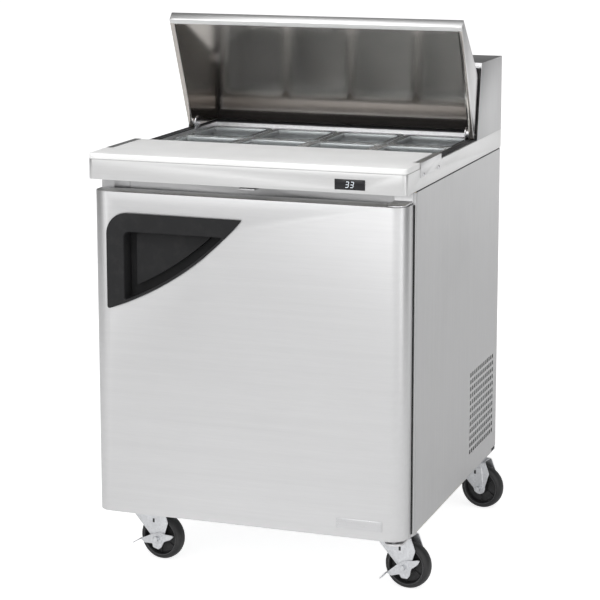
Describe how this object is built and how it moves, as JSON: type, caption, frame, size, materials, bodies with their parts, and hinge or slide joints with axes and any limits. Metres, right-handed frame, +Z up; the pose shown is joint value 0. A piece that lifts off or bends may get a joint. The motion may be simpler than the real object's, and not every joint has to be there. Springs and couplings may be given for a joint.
{
  "type": "refrigerated sandwich prep table",
  "caption": "Wheeled refrigerated sandwich prep table with an insulated door, a tilting lid over a rail of food pans, and a full-width white cutting board.",
  "frame": {"origin": "on the floor, below the middle of the counter", "axes": "+X to the right seen from the front, +Y to the back, +Z up"},
  "size_m": [0.7704, 0.7628, 1.1764],
  "materials": {
    "side_steel": "fine vertical brushed grain, satin",
    "front_steel": "fine brushed grain, satin",
    "counter_steel": "horizontal brushed grain, satin",
    "door_steel": "horizontal brushed grain, satin",
    "lid_steel": "horizontal brushed grain, satin",
    "lid_mirror": "smooth, bright annealed, almost mirror",
    "galvanised_steel": "zinc spangle, matt",
    "liner_aluminium": "stucco embossed, satin",
    "bar_steel": "satin",
    "bracket_steel": "satin",
    "bright_metal": "bright plated",
    "zinc": "bright zinc plating, slightly mottled",
    "foam": "foamed polyurethane, matt",
    "black_plastic": "satin moulded plastic",
    "handle_plastic": "lightly textured moulded plastic",
    "display_black": "gloss window",
    "black_rubber": "matt soft rubber",
    "wheel_rubber": "matt moulded wheel",
    "white_enamel": "white powder coat",
    "black_enamel": "black enamel",
    "fin_aluminium": "fine fins",
    "fan_aluminium": "plain",
    "fan_plastic": "moulded",
    "copper": "drawn tube",
    "badge_metal": "fine brushed, blank",
    "board_plastic": "white polyethylene with a faint grain",
    "coated_wire": "light epoxy coat",
    "clear_pan": "clear polycarbonate"
  },
  "bodies": {
    "cabinet": {"side_panel_left": "side_steel", "side_panel_right": "side_steel", "back_panel": "galvanised_steel", "base_pan": "galvanised_steel", "front_frame": "front_steel", "insulation": "foam", "inner_liner": "liner_aluminium", "counter_top": "counter_steel", "well_liner": "liner_aluminium", "breaker_strip": "black_plastic", "pan_support_bars": "bar_steel", "air_duct": "liner_aluminium", "rear_housing": "side_steel", "rubber_trim": "black_rubber", "board_brackets": "bracket_steel", "lid_pivot_brackets": "bright_metal", "display_module": "display_black", "door_hinge_plates": "bracket_steel", "shelf_pilasters": "bar_steel", "evaporator_cover": "white_enamel", "evaporator_coil": "fin_aluminium", "compressor": "black_enamel", "condenser_coil": "fin_aluminium", "condenser_fan_motor": "black_enamel", "refrigerant_lines": "copper", "cord_gland": "black_plastic", "screws": "bright_metal", "caster_plates": "zinc"},
    "door": {"door_skin": "door_steel", "door_foam": "foam", "door_liner": "liner_aluminium", "door_gasket": "black_rubber", "door_handle": "handle_plastic", "door_badge": "badge_metal"},
    "lid": {"lid_outer_skin": "lid_steel", "lid_foam": "foam", "lid_inner_skin": "lid_mirror", "lid_edge_trim": "lid_steel"},
    "board": {"cutting_board": "board_plastic"},
    "shelf_rack": {"shelf": "coated_wire"},
    "evaporator_propeller": {"evaporator_fan": "fan_plastic"},
    "condenser_propeller": {"condenser_fan": "fan_aluminium"},
    "caster_front_left": {"fork_front_left": "zinc"},
    "roller_front_left": {"wheel_front_left": "wheel_rubber"},
    "caster_front_right": {"fork_front_right": "zinc"},
    "roller_front_right": {"wheel_front_right": "wheel_rubber"},
    "caster_rear_left": {"fork_rear_left": "zinc"},
    "roller_rear_left": {"wheel_rear_left": "wheel_rubber"},
    "caster_rear_right": {"fork_rear_right": "zinc"},
    "roller_rear_right": {"wheel_rear_right": "wheel_rubber"},
    "lever_left": {"brake_left": "zinc"},
    "lever_right": {"brake_right": "zinc"},
    "tray_1": {"pan_1": "clear_pan"},
    "tray_2": {"pan_2": "clear_pan"},
    "tray_3": {"pan_3": "clear_pan"},
    "tray_4": {"pan_4": "clear_pan"},
    "tray_5": {"pan_5": "clear_pan"},
    "tray_6": {"pan_6": "clear_pan"},
    "tray_7": {"pan_7": "clear_pan"},
    "tray_8": {"pan_8": "clear_pan"}
  },
  "joints": [
    {"name": "lid_hinge", "type": "hinge", "parent": "cabinet", "child": "lid", "pos_m": [0, 0.164, 0.915], "axis": [-1, 0, 0], "range_deg": [-67, 0]},
    {"name": "door_hinge", "type": "hinge", "parent": "cabinet", "child": "door", "pos_m": [0.321, -0.359, 0.48], "axis": [0, 0, 1], "range_deg": [0, 110], "stiffness_Nm_per_rad": 1.5, "springref_deg": -22.92},
    {"name": "swivel_front_left", "type": "hinge", "parent": "cabinet", "child": "caster_front_left", "pos_m": [-0.282, -0.255, 0.114], "axis": [0, 0, 1], "continuous": true},
    {"name": "spin_front_left", "type": "hinge", "parent": "caster_front_left", "child": "roller_front_left", "pos_m": [-0.23854, -0.26188, 0.051], "axis": [0.1564, 0.9877, 0], "continuous": true},
    {"name": "swivel_front_right", "type": "hinge", "parent": "cabinet", "child": "caster_front_right", "pos_m": [0.282, -0.255, 0.114], "axis": [0, 0, 1], "continuous": true},
    {"name": "spin_front_right", "type": "hinge", "parent": "caster_front_right", "child": "roller_front_right", "pos_m": [0.32546, -0.26188, 0.051], "axis": [0.1564, 0.9877, 0], "continuous": true},
    {"name": "swivel_rear_left", "type": "hinge", "parent": "cabinet", "child": "caster_rear_left", "pos_m": [-0.29, 0.331, 0.114], "axis": [0, 0, 1], "continuous": true},
    {"name": "spin_rear_left", "type": "hinge", "parent": "caster_rear_left", "child": "roller_rear_left", "pos_m": [-0.33346, 0.33788, 0.051], "axis": [-0.1564, -0.9877, 0], "continuous": true},
    {"name": "swivel_rear_right", "type": "hinge", "parent": "cabinet", "child": "caster_rear_right", "pos_m": [0.29, 0.331, 0.114], "axis": [0, 0, 1], "continuous": true},
    {"name": "spin_rear_right", "type": "hinge", "parent": "caster_rear_right", "child": "roller_rear_right", "pos_m": [0.33346, 0.32412, 0.051], "axis": [0.1564, 0.9877, 0], "continuous": true},
    {"name": "brake_left_press", "type": "hinge", "parent": "caster_front_left", "child": "lever_left", "pos_m": [-0.23854, -0.26188, 0.051], "axis": [-0.1564, -0.9877, 0], "range_deg": [0, 10]},
    {"name": "brake_right_press", "type": "hinge", "parent": "caster_front_right", "child": "lever_right", "pos_m": [0.32546, -0.26188, 0.051], "axis": [-0.1564, -0.9877, 0], "range_deg": [-10, 0]},
    {"name": "board_lift", "type": "slide", "parent": "cabinet", "child": "board", "axis": [0, 0, 1], "range_m": [0, 0.06]},
    {"name": "shelf_lift", "type": "slide", "parent": "cabinet", "child": "shelf_rack", "axis": [0, 0, 1], "range_m": [0, 0.03]},
    {"name": "pan_1_lift", "type": "slide", "parent": "cabinet", "child": "tray_1", "axis": [0, 0, 1], "range_m": [0, 0.12]},
    {"name": "pan_2_lift", "type": "slide", "parent": "cabinet", "child": "tray_2", "axis": [0, 0, 1], "range_m": [0, 0.12]},
    {"name": "pan_3_lift", "type": "slide", "parent": "cabinet", "child": "tray_3", "axis": [0, 0, 1], "range_m": [0, 0.12]},
    {"name": "pan_4_lift", "type": "slide", "parent": "cabinet", "child": "tray_4", "axis": [0, 0, 1], "range_m": [0, 0.12]},
    {"name": "pan_5_lift", "type": "slide", "parent": "cabinet", "child": "tray_5", "axis": [0, 0, 1], "range_m": [0, 0.045]},
    {"name": "pan_6_lift", "type": "slide", "parent": "cabinet", "child": "tray_6", "axis": [0, 0, 1], "range_m": [0, 0.045]},
    {"name": "pan_7_lift", "type": "slide", "parent": "cabinet", "child": "tray_7", "axis": [0, 0, 1], "range_m": [0, 0.045]},
    {"name": "pan_8_lift", "type": "slide", "parent": "cabinet", "child": "tray_8", "axis": [0, 0, 1], "range_m": [0, 0.045]},
    {"name": "evaporator_spin", "type": "hinge", "parent": "cabinet", "child": "evaporator_propeller", "pos_m": [0, 0.245, 0.675], "axis": [0, 1, 0], "continuous": true},
    {"name": "condenser_spin", "type": "hinge", "parent": "cabinet", "child": "condenser_propeller", "pos_m": [0.275, 0.2375, 0.27], "axis": [1, 0, 0], "continuous": true}
  ]
}
